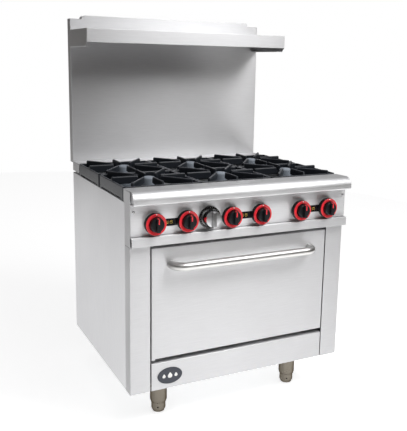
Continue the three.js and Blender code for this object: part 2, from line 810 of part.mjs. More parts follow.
function rearTopTrim() {
  const back = BACKGUARD_FACE - GAP;
  return cut(
    block(both(HALF), [TRIM_FRONT, back], [TRIM_BOTTOM, TRIM_TOP]),
    block(both(HALF - SHEET), [TRIM_FRONT + SHEET, back - SHEET], [TRIM_BOTTOM - 1, TRIM_TOP - SHEET]),
  );
}

function backguard() {
  const height = [BACKGUARD_BOTTOM, BACKGUARD_TOP];
  const flanges = Object.values(SIDES).map((side) => (
    block(ordered(side * (HALF - SHEET), side * HALF), [BACKGUARD_FACE, BACKGUARD_BACK], height)
  ));
  return join(block(both(HALF), [BACKGUARD_FACE, BACKGUARD_FACE + SHEET], height), ...flanges);
}

function highShelf() {
  const back = BACKGUARD_FACE - GAP;
  const lipBottom = 1423.7;
  const endBottom = 1407;
  const chamfer = 18;
  const flange = 28;
  const endOutline = [
    [SHELF_FRONT, lipBottom], [SHELF_FRONT + chamfer, endBottom], [back, endBottom],
    [back, SHELF_TOP], [SHELF_FRONT, SHELF_TOP],
  ];
  const ends = Object.values(SIDES).flatMap((side) => [
    prismAlongX(endOutline, ordered(side * (HALF - SHEET), side * HALF)),
    block(
      ordered(side * (HALF - flange), side * HALF),
      [SHELF_FRONT + chamfer, back],
      [endBottom, endBottom + SHEET],
    ),
  ]);
  return join(
    block(both(HALF), [SHELF_FRONT, back], [SHELF_TOP - SHEET, SHELF_TOP]),
    block(both(HALF), [SHELF_FRONT, SHELF_FRONT + SHEET], [lipBottom, SHELF_TOP]),
    ...ends,
  );
}

function flueRiser() {
  const seat = CABINET_DEPTH + GAP;
  const front = BACKGUARD_FACE + SHEET + 0.7;
  const step = 870;
  const top = OVERALL_HEIGHT;
  const outer = [
    [seat, RISER_BOTTOM], [RISER_BACK, RISER_BOTTOM], [RISER_BACK, top],
    [front, top], [front, step], [seat, step],
  ];
  const inner = [
    [seat + SHEET, RISER_BOTTOM + SHEET],
    [RISER_BACK - SHEET, RISER_BOTTOM + SHEET],
    [RISER_BACK - SHEET, top + 1],
    [front + SHEET, top + 1],
    [front + SHEET, step - SHEET],
    [seat + SHEET, step - SHEET],
  ];
  const chamfer = 9;
  const corners = Object.values(SIDES).map((side) => {
    const geometry = extruded([
      [side * (RISER_HALF + 1), top + 1], [side * (RISER_HALF - chamfer), top + 1],
      [side * (RISER_HALF + 1), top - chamfer],
    ], 2 * OVERALL_DEPTH);
    geometry.rotateX(Math.PI / 2);
    geometry.translate(0, OVERALL_DEPTH, 0);
    return geometry;
  });
  return cut(
    prismAlongX(outer, both(RISER_HALF)),
    prismAlongX(inner, both(RISER_HALF - SHEET)),
    block(both(FLUE_SLOT_HALF), [seat - 5, seat + 5], FLUE_SLOT),
    ...corners.map(solid),
  );
}

add('rear_top_trim', rearTopTrim(), STAINLESS);
add('backguard', backguard(), STAINLESS);
add('high_shelf', highShelf(), STAINLESS);
add('flue_riser', flueRiser(), STAINLESS);

export default range;
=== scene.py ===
"""Looks for the commercial gas range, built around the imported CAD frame. Metres, +Z up, cook at -Y."""
from math import cos, pi, radians, sin, sqrt, tan

import bmesh
import bpy
from mathutils import Matrix, Vector


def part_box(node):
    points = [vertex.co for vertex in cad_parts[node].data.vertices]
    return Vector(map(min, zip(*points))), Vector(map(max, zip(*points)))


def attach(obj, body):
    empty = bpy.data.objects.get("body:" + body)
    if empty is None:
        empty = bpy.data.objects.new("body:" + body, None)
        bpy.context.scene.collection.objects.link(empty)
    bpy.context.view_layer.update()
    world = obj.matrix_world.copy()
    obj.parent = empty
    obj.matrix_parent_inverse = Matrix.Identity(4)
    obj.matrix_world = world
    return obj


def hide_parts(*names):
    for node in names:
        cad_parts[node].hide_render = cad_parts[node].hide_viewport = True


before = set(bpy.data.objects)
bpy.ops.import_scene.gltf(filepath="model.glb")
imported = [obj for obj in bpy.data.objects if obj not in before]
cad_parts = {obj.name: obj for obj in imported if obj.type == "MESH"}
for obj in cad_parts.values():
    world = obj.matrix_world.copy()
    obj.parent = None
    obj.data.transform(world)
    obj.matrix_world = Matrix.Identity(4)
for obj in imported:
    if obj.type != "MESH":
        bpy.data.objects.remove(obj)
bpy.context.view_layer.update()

# ---------------- sizes

MM = 0.001
SHEET = 1.5 * MM
BEND = 2.2 * MM


def low(node):
    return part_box(node)[0]


def high(node):
    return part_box(node)[1]


def middle(node):
    return (low(node) + high(node)) / 2


SIDES = {"left": -1, "right": 1}
COLUMNS = ("left", "center", "right")
ROWS = ("front", "rear")
SPOTS = [f"{column}_{row}" for column in COLUMNS for row in ROWS]

HALF_WIDTH = high("backguard").x
FRONT = low("left_front_post").y
PANEL_FACE = FRONT - 9 * MM

# ---------------- mesh tools


def link(name, data):
    """A new object in the scene."""
    piece = bpy.data.objects.new(name, data)
    bpy.context.scene.collection.objects.link(piece)
    return piece


def discard(piece):
    mesh = piece.data
    bpy.data.objects.remove(piece)
    bpy.data.meshes.remove(mesh)


def build(name, points, faces, sharp=32):
    """A closed mesh from points and faces, with its normals turned outwards."""
    mesh = bpy.data.meshes.new(name)
    mesh.from_pydata(points, [], faces)
    work = bmesh.new()
    work.from_mesh(mesh)
    bmesh.ops.remove_doubles(work, verts=work.verts, dist=1e-6)
    bmesh.ops.recalc_face_normals(work, faces=work.faces)
    work.to_mesh(mesh)
    work.free()
    mesh.shade_smooth()
    mesh.set_sharp_from_angle(angle=radians(sharp))
    return link(name, mesh)


def joined(name, pieces):
    """Several mesh objects as one, under a new name. Sharp edges stay as they were."""
    work = bmesh.new()
    for piece in pieces:
        work.from_mesh(piece.data)
        discard(piece)
    mesh = bpy.data.meshes.new(name)
    work.to_mesh(mesh)
    work.free()
    return link(name, mesh)


def loft(name, rings, closed=False, sharp=32):
    """A solid through rings of points of equal count, with flat ends unless it closes on itself."""
    count = len(rings[0])
    spans = len(rings) if closed else len(rings) - 1
    faces = []
    for i in range(spans):
        a = i * count
        b = ((i + 1) % len(rings)) * count
        for j in range(count):
            k = (j + 1) % count
            faces.append((a + j, a + k, b + k, b + j))
    if not closed:
        faces.append(tuple(range(count)))
        faces.append(tuple(range((len(rings) - 1) * count, len(rings) * count)))
    return build(name, [p for ring in rings for p in ring], faces, sharp)


def on_axis(axis, a, b, c):
    """The point at c on an axis, with a and b on the other two axes in X, Y, Z order."""
    return {"X": (c, a, b), "Y": (a, c, b), "Z": (a, b, c)}[axis]


def prism(name, outline, axis, start, end):
    """A flat outline drawn out along an axis."""
    return loft(name, [[on_axis(axis, a, b, c) for a, b in outline] for c in (start, end)])


def near(base, *offsets):
    """Points in a plane, each given in millimetres from a base point."""
    return [(base[0] + a * MM, base[1] + b * MM) for a, b in offsets]


def level_direction(degrees):
    angle = radians(degrees)
    return Vector((cos(angle), sin(angle), 0))


def oval(centre, half_a, half_b, steps):
    angles = [2 * pi * i / steps for i in range(steps)]
    return [(centre[0] + half_a * cos(a), centre[1] + half_b * sin(a)) for a in angles]


def arc(centre, radius, start, end, steps):
    """Points on an arc in a plane, from one angle to another in degrees."""
    angles = [radians(start + (end - start) * i / steps) for i in range(steps + 1)]
    return [(centre[0] + radius * cos(a), centre[1] + radius * sin(a)) for a in angles]


def rounded_rectangle(half_a, half_b, radius, centre, steps=6):
    outline = []
    for sign_a, sign_b, start in ((1, 1, 0), (-1, 1, 90), (-1, -1, 180), (1, -1, 270)):
        corner = (centre[0] + sign_a * (half_a - radius), centre[1] + sign_b * (half_b - radius))
        outline += arc(corner, radius, start, start + 90, steps)
    return outline


def rounded_route(points, radius, steps):
    """A route of straight runs with each corner turned into an arc."""
    vectors = [Vector(p) for p in points]
    route = [vectors[0]]
    for before, corner, after in zip(vectors, vectors[1:], vectors[2:]):
        back = (before - corner).normalized()
        onward = (after - corner).normalized()
        half = back.angle(onward) / 2
        centre = corner + (back + onward).normalized() * (radius / sin(half))
        first = corner + back * (radius / tan(half)) - centre
        last = corner + onward * (radius / tan(half)) - centre
        turn = first.angle(last)
        for i in range(steps + 1):
            share = i / steps
            reach = first * sin((1 - share) * turn) + last * sin(share * turn)
            route.append(centre + reach / sin(turn))
    route.append(vectors[-1])
    return route


def swept(name, route, radii, sides=24):
    """A round rod along a route of points. Radii is one radius, or one for each point."""
    points = [Vector(p) for p in route]
    if not isinstance(radii, list):
        radii = [radii] * len(points)
    rings = []
    side = None
    for i, (point, radius) in enumerate(zip(points, radii)):
        ahead = points[min(i + 1, len(points) - 1)]
        behind = points[max(i - 1, 0)]
        along = (ahead - behind).normalized()
        if side is None:
            side = along.orthogonal()
        side = (side - along * side.dot(along)).normalized()
        up = along.cross(side)
        rings.append([point + (side * a + up * b) * radius for a, b in oval((0, 0), 1, 1, sides)])
    return loft(name, rings, sharp=50)


def turned(name, profile, centre, facing="Z", steps=72, sharp=32, shape=None):
    """A lathe solid from (radius, height) points, standing up or facing the cook.
    Shape, where there is one, gives the radius to use at a radius, height and angle."""
    points = []
    faces = []
    count = len(profile)
    for i in range(steps):
        angle = 2 * pi * i / steps
        for radius, height in profile:
            if shape:
                radius = shape(radius, height, angle)
            a = radius * cos(angle)
            b = radius * sin(angle)
            offset = (a, b, height) if facing == "Z" else (a, -height, b)
            points.append(Vector(centre) + Vector(offset))
        start = i * count
        following = ((i + 1) % steps) * count
        for j in range(count - 1):
            faces.append((start + j, following + j, following + j + 1, start + j + 1))
    return build(name, points, faces, sharp)


def carve(piece, cutter):
    """Cuts one mesh out of another for good, and removes the cutter."""
    modifier = piece.modifiers.new("cut", "BOOLEAN")
    modifier.object = cutter
    modifier.operation = "DIFFERENCE"
    modifier.solver = "EXACT"
    evaluated = piece.evaluated_get(bpy.context.evaluated_depsgraph_get())
    mesh = bpy.data.meshes.new_from_object(evaluated)
    piece.modifiers.clear()
    old = piece.data
    piece.data = mesh
    mesh.name = old.name
    bpy.data.meshes.remove(old)
    discard(cutter)
    mesh.set_sharp_from_angle(angle=radians(40))


def round_edges(piece, name, width, segments, angle):
    """Rounds the edges that turn by more than an angle in degrees."""
    bevel = piece.modifiers.new(name, "BEVEL")
    bevel.width = width
    bevel.segments = segments
    bevel.limit_method = "ANGLE"
    bevel.angle_limit = radians(angle)


def soften(piece, width=0.4 * MM, segments=2, angle=35):
    """Small rounded edges, with the flats beside them shaded flat."""
    round_edges(piece, "rounded edges", width, segments, angle)
    piece.modifiers.new("flat shading on flats", "WEIGHTED_NORMAL").keep_sharp = True
    return piece


def sheet_metal(name, panels, inside, thickness=SHEET):
    """Folded sheet. Panels are outer faces that share their fold lines, turned away from a point inside."""
    points = []
    index = {}
    faces = []
    for panel in panels:
        corners = [Vector(p) for p in panel]
        centre = sum(corners, Vector()) / len(corners)
        ring = zip(corners, corners[1:] + corners[:1])
        normal = sum(((a - centre).cross(b - centre) for a, b in ring), Vector())
        if normal.dot(centre - Vector(inside)) < 0:
            corners.reverse()
        face = []
        for corner in corners:
            key = tuple(round(c / MM, 2) for c in corner)
            if key not in index:
                index[key] = len(points)
                points.append(corner)
            face.append(index[key])
        faces.append(face)
    mesh = bpy.data.meshes.new(name)
    mesh.from_pydata(points, [], faces)
    mesh.shade_smooth()
    piece = link(name, mesh)
    round_edges(piece, "folds", BEND, 4, 25)
    plate = piece.modifiers.new("thickness", "SOLIDIFY")
    plate.thickness = thickness
    plate.offset = -1
    plate.use_even_offset = True
    return soften(piece, 0.25 * MM, 1, 60)


def quad(axis, at, a, b):
    """A rectangle square to an axis: a and b are its spans on the other two axes in X, Y, Z order."""
    corners = ((a[0], b[0]), (a[1], b[0]), (a[1], b[1]), (a[0], b[1]))
    return [on_axis(axis, p, q, at) for p, q in corners]


def place(piece, body, slot, material, *replaced):
    """Gives a piece its material and body, and hides the CAD nodes it stands for. Slot, meant for its
    finish, is not used.
    """
    piece.data.materials.clear()
    piece.data.materials.append(material)
    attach(piece, body)
    if replaced:
        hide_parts(*replaced)


def dress(node, material, width=0.5 * MM, segments=2):
    """A CAD node whose shape is right already gets rounded edges and its own material."""
    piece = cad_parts[node]
    piece.data.materials.clear()
    piece.data.materials.append(material)
    piece.modifiers.new("weld", "WELD").merge_threshold = 0.01 * MM
    flat = piece.modifiers.new("one face for each flat", "DECIMATE")
    flat.decimate_type = "DISSOLVE"
    flat.angle_limit = radians(0.5)
    soften(piece, width, segments)


# ---------------- material tools


def connect(tree, socket, value):
    """Links another node's output to an input, or sets a plain value. Colours come without alpha."""
    if isinstance(value, bpy.types.NodeSocket):
        tree.links.new(value, socket)
    else:
        socket.default_value = (*value, 1) if socket.type == "RGBA" else value


def feed(tree, node, **inputs):
    """Connects a node's inputs by name, with _ for each space."""
    for name, value in inputs.items():
        connect(tree, node.inputs[name.replace("_", " ")], value)
    return node


def add(tree, kind, **inputs):
    return feed(tree, tree.nodes.new(f"ShaderNode{kind}"), **inputs)


def new_material(name, color, roughness, metallic=0.0, **sockets):
    """A Principled material with plain values on the shader's own sockets, and its node tree."""
    material = bpy.data.materials.new(name)
    material.use_nodes = True
    tree = material.node_tree
    shader = tree.nodes["Principled BSDF"]
    feed(tree, shader, Base_Color=color, Roughness=roughness, Metallic=metallic, **sockets)
    return material, tree, shader


def noise(tree, scale, stretch=(1, 1, 1), detail=4.0, roughness=0.6):
    """Noise in the object's own space. It runs long along the axes where stretch is small."""
    coordinates = add(tree, "TexCoord")
    mapping = add(tree, "Mapping", Vector=coordinates.outputs["Object"], Scale=stretch)
    texture = add(tree, "TexNoise", Vector=mapping.outputs["Vector"], Scale=scale)
    feed(tree, texture, Detail=detail, Roughness=roughness)
    return texture.outputs["Fac"]


def spread(tree, source, to_low=0.0, to_high=1.0, from_low=0.3, from_high=0.7):
    """A value stretched from one span to another, and held at its ends."""
    node = add(tree, "MapRange", Value=source, From_Min=from_low, From_Max=from_high)
    feed(tree, node, To_Min=to_low, To_Max=to_high)
    return node.outputs["Result"]


def combine(tree, kind, operation, first, second):
    """The result of a Math or VectorMath node."""
    node = add(tree, kind)
    node.operation = operation
    connect(tree, node.inputs[0], first)
    connect(tree, node.inputs[1], second)
    return node.outputs[0]


def blend_colors(tree, source, first, second):
    node = add(tree, "Mix")
    node.data_type = "RGBA"
    feed(tree, node, Factor=source, A=first, B=second)
    return node.outputs["Result"]


def bump(tree, shader, source, strength, distance):
    node = add(tree, "Bump", Height=source, Strength=strength, Distance=distance)
    feed(tree, shader, Normal=node.outputs["Normal"])


def face_normal(tree):
    """The surface's normal, and its upward part alone."""
    normal = add(tree, "NewGeometry").outputs["Normal"]
    return normal, add(tree, "SeparateXYZ", Vector=normal).outputs["Z"]


def level_tangent(tree):
    """A direction that lies in the face and stays level, on upright faces and on flat ones."""
    normal, upward = face_normal(tree)
    upright = add(tree, "CombineXYZ", Y=upward, Z=1)
    return combine(tree, "VectorMath", "CROSS_PRODUCT", normal, upright.outputs["Vector"])


def scaled(color, factor):
    return tuple(min(1.0, c * factor) for c in color)


# ---------------- materials

ACROSS = (0.012, 1, 1)
UPRIGHT = (1, 1, 0.012)


def brushed_steel(name, grain_stretch, tone, roughness, highlight_stretch=0.8):
    """Stainless sheet: long fine grain lines, and highlights drawn out across the grain."""
    color = (tone, tone, tone * 1.015)
    turn = 0.25 if grain_stretch == ACROSS else 0.0
    material, tree, shader = new_material(
        name, color, roughness, 1.0, Anisotropic=highlight_stretch, Anisotropic_Rotation=turn)
    grain = noise(tree, 1100, grain_stretch, 2.0, 0.7)
    cloud = noise(tree, 3.5, detail=3.0, roughness=0.55)
    tint = blend_colors(tree, spread(tree, grain), scaled(color, 0.95), scaled(color, 1.05))
    polish = spread(tree, cloud, roughness - 0.04, roughness + 0.04)
    feed(tree, shader, Base_Color=tint, Roughness=polish, Tangent=level_tangent(tree))
    bump(tree, shader, grain, 0.08, 0.1 * MM)
    return material


def plain_metal(name, color, roughness, strength=0.1, edge=(1, 1, 1)):
    """Bare or plated metal with a faint handled texture. Edge tints it where it turns away."""
    material, tree, shader = new_material(name, color, roughness, 1.0, Specular_Tint=edge)
    smear = noise(tree, 18, detail=3.0)
    feed(tree, shader, Roughness=spread(tree, smear, roughness * 0.8, roughness * 1.3))
    bump(tree, shader, noise(tree, 240, detail=3.0), strength, 0.08 * MM)
    return material


def galvanised_metal(name):
    """Zinc-coated sheet with its large pale crystals."""
    material, tree, shader = new_material(name, (0.5, 0.51, 0.52), 0.45, 1.0)
    coordinates = add(tree, "TexCoord")
    cells = add(tree, "TexVoronoi", Vector=coordinates.outputs["Object"], Scale=85)
    gray = add(tree, "RGBToBW", Color=cells.outputs["Color"])
    flake = spread(tree, gray.outputs["Val"], 0.0, 1.0, 0.2, 0.8)
    tint = blend_colors(tree, flake, (0.42, 0.43, 0.44), (0.56, 0.57, 0.58))
    feed(tree, shader, Base_Color=tint, Roughness=spread(tree, flake, 0.34, 0.54, 0.0, 1.0))
    return material


def cast_metal(name, color, wear_and_sheen, roughness, coat=0.0):
    """Sand-cast iron: pebbled, and paler on its upper faces: partly wear where pans rub, partly painted
    sheen of the light from above. Coat is its seasoning.
    """
    material, tree, shader = new_material(name, color, roughness, Coat_Weight=coat, Coat_Roughness=0.14)
    pebble = noise(tree, 520, detail=5.0, roughness=0.65)
    patch = spread(tree, noise(tree, 30), 0.45, 1.0)
    # Upward faces are mixed towards the second colour: partly pan wear, partly painted sheen standing for
    # light from above.
    upward = spread(tree, face_normal(tree)[1], 0.0, 1.0, 0.55, 1.0)
    tint = blend_colors(tree, combine(tree, "Math", "MULTIPLY", upward, patch), color, wear_and_sheen)
    feed(tree, shader, Base_Color=tint, Roughness=spread(tree, pebble, roughness - 0.08, roughness + 0.12))
    bump(tree, shader, pebble, 0.3, 0.4 * MM)
    return material


def enamelled(name, color, fleck, roughness):
    """Glossy porcelain enamel with small pale flecks and a soft waviness."""
    material, tree, shader = new_material(name, color, roughness, Coat_Weight=0.4, Coat_Roughness=0.08)
    speck = noise(tree, 700, detail=2.0)
    wave = noise(tree, 40, detail=2.0)
    tint = blend_colors(tree, spread(tree, speck, 0.0, 1.0, 0.62, 0.7), color, fleck)
    feed(tree, shader, Base_Color=tint, Roughness=spread(tree, wave, roughness * 0.8, roughness * 1.5))
    bump(tree, shader, wave, 0.12, 0.4 * MM)
    return material


def moulded(name, color, roughness, coat=0.0, strength=0.08, shine=0.5):
    """Moulded plastic or lacquer: a very fine texture under slow changes of tone."""
    material, tree, shader = new_material(
        name, color, roughness, Coat_Weight=coat, Coat_Roughness=0.08, Specular_IOR_Level=shine)
    fine = noise(tree, 1300, detail=2.0)
    broad = spread(tree, noise(tree, 30, detail=3.0))
    tint = blend_colors(tree, broad, scaled(color, 0.92), scaled(color, 1.1))
    feed(tree, shader, Base_Color=tint, Roughness=spread(tree, fine, roughness * 0.85, roughness * 1.2))
    bump(tree, shader, fine, strength, 0.15 * MM)
    return material


STEEL_FRONT = brushed_steel("stainless front, grain across", ACROSS, 0.64, 0.46)
STEEL_SIDE = brushed_steel("stainless side, grain upright", UPRIGHT, 0.69, 0.42, 0.7)
STEEL_PANEL = brushed_steel("stainless knob panel, grain across", ACROSS, 0.76, 0.5)
STEEL_NOSE = brushed_steel("stainless nose, grain across", ACROSS, 0.68, 0.42, 0.6)
STEEL_TUBE = plain_metal("polished tube", (0.64, 0.635, 0.62), 0.36, strength=0.04)
STEEL_SCREW = plain_metal("screw steel", (0.62, 0.62, 0.63), 0.22)
CHROME = plain_metal("bright chrome", (0.78, 0.79, 0.8), 0.1, strength=0.05)
DIAL_METAL = brushed_steel("brushed dial face", UPRIGHT, 0.7, 0.5, 0.7)
GRIP_METAL = brushed_steel("brushed dial grip", UPRIGHT, 0.4, 0.45, 0.7)
GALVANISED = galvanised_metal("galvanised sheet")
# The second colour is the paler tone of upward faces: pan wear plus painted sheen of the light from above.
GRATE_IRON = cast_metal("grate casting", (0.014, 0.0175, 0.024), (0.08, 0.088, 0.108), 0.36, 0.05)
# The second colour pales the burner's upward faces: painted light from above.
BURNER_IRON = cast_metal("burner casting", (0.3, 0.34, 0.39), (0.36, 0.4, 0.46), 0.5)
ENAMEL = enamelled("oven enamel", (0.012, 0.014, 0.02), (0.16, 0.17, 0.2), 0.16)
PIPE_BLACK = moulded("black pipe", (0.02, 0.02, 0.022), 0.42, strength=0.3)
BRASS = plain_metal("machined brass", (0.62, 0.46, 0.2), 0.25)
# The dark edge tint is painted shade: it darkens the legs' glancing reflections, standing for the shaded
# floor under the range.
LEG_METAL = plain_metal("dark leg plating", (0.19, 0.17, 0.14), 0.24, edge=(0.2, 0.18, 0.16))
KNOB_BLACK = moulded("knob plastic", (0.008, 0.009, 0.011), 0.4, shine=0.3)
RING_RED = moulded("red ring", (1.0, 0.035, 0.05), 0.35, coat=0.2)
LABEL_BLACK = moulded("label black", (0.006, 0.006, 0.007), 0.2)
MARK_WHITE = moulded("white mark", (0.85, 0.84, 0.82), 0.45)
MARK_YELLOW = moulded("yellow mark", (0.72, 0.5, 0.08), 0.45)
BADGE_SLATE = moulded("badge slate", (0.036, 0.041, 0.056), 0.42)

# ---------------- cabinet sheets


def box_faces(lo, hi, sides):
    """Panels on the named sides of a box."""
    names = ("left", "right", "front", "back", "bottom", "top")
    panels = []
    for side in sides.split():
        axis, end = divmod(names.index(side), 2)
        spans = [(lo[i], hi[i]) for i in range(3) if i != axis]
        panels.append(quad("XYZ"[axis], (lo, hi)[end][axis], *spans))
    return panels


def make_sheet(name, panels, node, material=STEEL_FRONT, body="cabinet"):
    """Folded sheet that stands for a CAD node, whose middle is inside the folds."""
    place(sheet_metal(name, panels, middle(node)), body, "stainless", material, node)


def make_side_panel(name, sign):
    """Outer wall with a flange folded in along the top, and the crumb tray's runner."""
    node = f"{name}_side_panel"
    lo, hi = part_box(node)
    outer = sign * HALF_WIDTH
    flange = outer - sign * 18 * MM
    notch = 4 * MM
    wall = [
        (lo.y, lo.z + 3 * notch), (lo.y + notch, lo.z + 2 * notch), (lo.y + notch, lo.z),
        (hi.y, lo.z), (hi.y, hi.z), (lo.y, hi.z),
    ]
    panels = [[(outer, y, z) for y, z in wall], quad("Z", hi.z, (outer, flange), (lo.y, hi.y))]
    make_sheet(f"{name}_side_sheet", panels, node, STEEL_SIDE)
    tray_under = low("crumb_tray").z - 0.3 * MM
    inner = lo.x if sign > 0 else hi.x
    wall_face = outer - sign * (SHEET + 0.1 * MM)
    depth = (lo.y + 10.7 * MM, hi.y - 7 * MM)
    ledge = quad("Z", tray_under, (wall_face, inner), depth)
    leg = quad("X", wall_face, depth, (tray_under - 22 * MM, tray_under))
    runner = sheet_metal(f"{name}_tray_runner", [ledge, leg], (0, 0, tray_under - 1))
    place(runner, "cabinet", "stainless", GALVANISED)


def make_front_post(name, sign):
    node = f"{name}_front_post"
    lo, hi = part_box(node)
    inner = lo.x if sign > 0 else hi.x
    fold = quad("X", inner, (lo.y, lo.y + 12 * MM), (lo.z, hi.z))
    make_sheet(f"{name}_post_sheet", [*box_faces(lo, hi, f"{name} front"), fold], node)


def make_kick_panel():
    lo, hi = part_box("kick_panel")
    lip = quad("Z", lo.z, (lo.x, hi.x), (lo.y, lo.y + 30 * MM))
    make_sheet("kick_sheet", [*box_faces(lo, hi, "front top"), lip], "kick_panel")


def make_control_panel():
    """Front plate and side returns of one folded sheet."""
    lo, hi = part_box("control_panel")
    plate_bottom = high("crumb_tray").z + 1.5 * MM
    plate_top = low("bullnose_rail").z - 0.5 * MM
    return_back = low("left_side_panel").y - 0.3 * MM
    shoulder = high("left_side_panel").z + 0.3 * MM
    outline = [
        (PANEL_FACE, lo.z), (return_back, lo.z), (return_back, shoulder), (hi.y, shoulder),
        (hi.y, hi.z), (PANEL_FACE, hi.z), (PANEL_FACE, plate_top), (PANEL_FACE, plate_bottom),
    ]
    panels = [quad("Y", PANEL_FACE, (lo.x, hi.x), (plate_bottom, plate_top))]
    for sign in SIDES.values():
        panels.append([(sign * HALF_WIDTH, y, z) for y, z in outline])
    make_sheet("control_sheet", panels, "control_panel", STEEL_PANEL)


def make_bullnose():
    """Rail of one rolled sheet: flat top, round nose and a small curl under it, with a cap in each end."""
    lo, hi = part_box("bullnose_rail")
    radius = 35 * MM
    curl = 7 * MM
    nose = (lo.y + radius, hi.z - radius)
    line = [(hi.y, lo.z + 4 * MM), (hi.y, hi.z - 2 * MM), (nose[0] + 8 * MM, hi.z - 0.2 * MM)]
    line += arc(nose, radius, 90, 180, 22) + near((lo.y, lo.z), (0.3, 9))
    line += arc((lo.y + curl, lo.z + curl), curl, 190, 270, 6) + near((lo.y, lo.z), (19, 0))
    panels = []
    for a, b in zip(line, line[1:]):
        panels.append([(lo.x, *a), (hi.x, *a), (hi.x, *b), (lo.x, *b)])
    skin = sheet_metal("bullnose_sheet", panels, (0, nose[0], nose[1] - 4 * MM), 2 * MM)
    place(skin, "cabinet", "stainless", STEEL_NOSE, "bullnose_rail")
    outline = arc(nose, radius - 3.2 * MM, 86, 180, 16) + near((lo.y, lo.z), (3.4, 7.5))
    outline += near((PANEL_FACE, lo.z), (-0.4, 7.5)) + near((PANEL_FACE, hi.z), (-0.4, -3.4))
    for name, sign in SIDES.items():
        outer = sign * (HALF_WIDTH - 3 * MM)
        cap = prism(f"bullnose_cap_{name}", outline, "X", outer - sign * SHEET, outer)
        place(soften(cap), "cabinet", "stainless", STEEL_FRONT)


def make_crumb_tray():
    """Shallow pan whose front folds up into a full-width ledge."""
    lo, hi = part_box("crumb_tray")
    pan_half = 400 * MM
    lip_back = lo.y + 15 * MM
    wall_height = (lo.z, hi.z - 5.5 * MM)
    lip = [(lo.x, lo.y), (hi.x, lo.y), (hi.x, lip_back)]
    lip += [(pan_half, lip_back), (-pan_half, lip_back), (lo.x, lip_back)]
    panels = [
        quad("Z", hi.z, (lo.x, hi.x), (lo.y, lip_back)),
        *box_faces(lo, hi, "front"),
        [(x, y, lo.z) for x, y in lip],
        quad("Z", lo.z, (-pan_half, pan_half), (lip_back, hi.y)),
        quad("Y", hi.y, (-pan_half, pan_half), wall_height),
    ]
    for sign in SIDES.values():
        panels.append(quad("X", sign * pan_half, (lip_back, hi.y), wall_height))
    make_sheet("tray_sheet", panels, "crumb_tray", body="crumb_tray")


def make_door_skin():
    """Outer pan of the oven door, with the small tab left at its lower left corner."""
    lo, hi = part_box("door_shell")
    tab = lo.x + 14 * MM
    bottom = lo.z + 5 * MM
    face = [(lo.x, bottom), (lo.x, lo.z), (tab, lo.z), (tab, bottom)]
    face += [(hi.x, bottom), (hi.x, hi.z), (lo.x, hi.z)]
    panels = [[(x, lo.y, z) for x, z in face]]
    panels += box_faces(Vector((lo.x, lo.y, bottom)), hi, "left right top")
    panels.append(quad("Z", bottom, (tab, hi.x), (lo.y, hi.y)))
    make_sheet("door_skin", panels, "door_shell", body="oven_door")


def make_high_shelf():
    """Shelf with a deep front lip, and end plates that reach lower and fold in along the bottom."""
    lo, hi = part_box("high_shelf")
    chamfer = lo.y + 18 * MM
    lip_bottom = lo.z + 16.7 * MM
    flange = 28 * MM
    outline = [(lo.y, lip_bottom), (chamfer, lo.z), (hi.y, lo.z), (hi.y, hi.z), (lo.y, hi.z)]
    panels = [*box_faces(lo, hi, "top"), quad("Y", lo.y, (lo.x, hi.x), (lip_bottom, hi.z))]
    for sign in SIDES.values():
        outer = sign * HALF_WIDTH
        panels.append([(outer, y, z) for y, z in outline])
        panels.append(quad("Z", lo.z, (outer, outer - sign * flange), (chamfer, hi.y)))
    make_sheet("shelf_sheet", panels, "high_shelf")


for side_name, side_sign in SIDES.items():
    make_side_panel(side_name, side_sign)
    make_front_post(side_name, side_sign)
make_kick_panel()
make_control_panel()
make_bullnose()
make_crumb_tray()
make_door_skin()
make_sheet("backguard_sheet", box_faces(*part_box("backguard"), "front left right"), "backguard")
make_high_shelf()
make_sheet("trim_sheet", box_faces(*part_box("rear_top_trim"), "top front back left right"), "rear_top_trim")
dress("flue_riser", STEEL_FRONT)
for name in ("base_pan", "rear_panel", "front_burner_rail", "rear_burner_rail"):
    dress(name, GALVANISED)
for name in SIDES:
    dress(f"door_hinge_{name}", GALVANISED)
dress("door_liner", ENAMEL, 1.2 * MM, 3)
dress("oven_liner", ENAMEL, 0.9 * MM, 3)
dress("oven_floor_plate", ENAMEL)

# ---------------- screws


def make_screw(name, centre, facing, radius=5 * MM):
    """Pan-head screw with a hexagon socket. Facing is the sign of Y it looks along, or 0 for down."""
    rise = radius * 0.55

    def socket(r, h, angle):
        if r < radius * 0.45:
            return r * 0.9 / cos(angle % (pi / 3) - pi / 6)
        return r

    shares = ((1, 0), (1, 0.3), (0.93, 0.68), (0.75, 0.93), (0.55, 1), (0.4, 0.98), (0.384, 0.35))
    profile = [(radius * out, rise * up) for out, up in shares] + [(0.05 * MM, rise * 0.3)]
    piece = turned(name, profile, (0, 0, 0), "Z", 36, 40, socket)
    turn = radians({-1: 90, 1: -90, 0: 180}[facing])
    piece.data.transform(Matrix.Translation(Vector(centre)) @ Matrix.Rotation(turn, 4, "X"))
    place(piece, "cabinet", "stainless", STEEL_SCREW)


def make_screws():
    """Two on the knob panel, and a column down each edge of the back and of the riser."""
    panel_height = middle("control_panel").z + 28.5 * MM
    for side, sign in SIDES.items():
        across = sign * (HALF_WIDTH - 12.5 * MM)
        make_screw(f"panel_screw_{side}", (across, PANEL_FACE, panel_height), -1)
    inset = 14 * MM
    for node, name, count, end, sunk in (
        ("rear_panel", "rear", 6, inset, 0), ("flue_riser", "riser", 5, 40 * MM, 1.9 * MM),
    ):
        lo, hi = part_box(node)
        for i in range(count):
            height = lo.z + end + (hi.z - lo.z - 2 * end) * i / (count - 1)
            for side, x in (("left", lo.x + inset), ("right", hi.x - inset)):
                make_screw(f"{name}_screw_{side}_{i}", (x, hi.y - sunk, height), 1, 4 * MM)


# ---------------- legs and feet


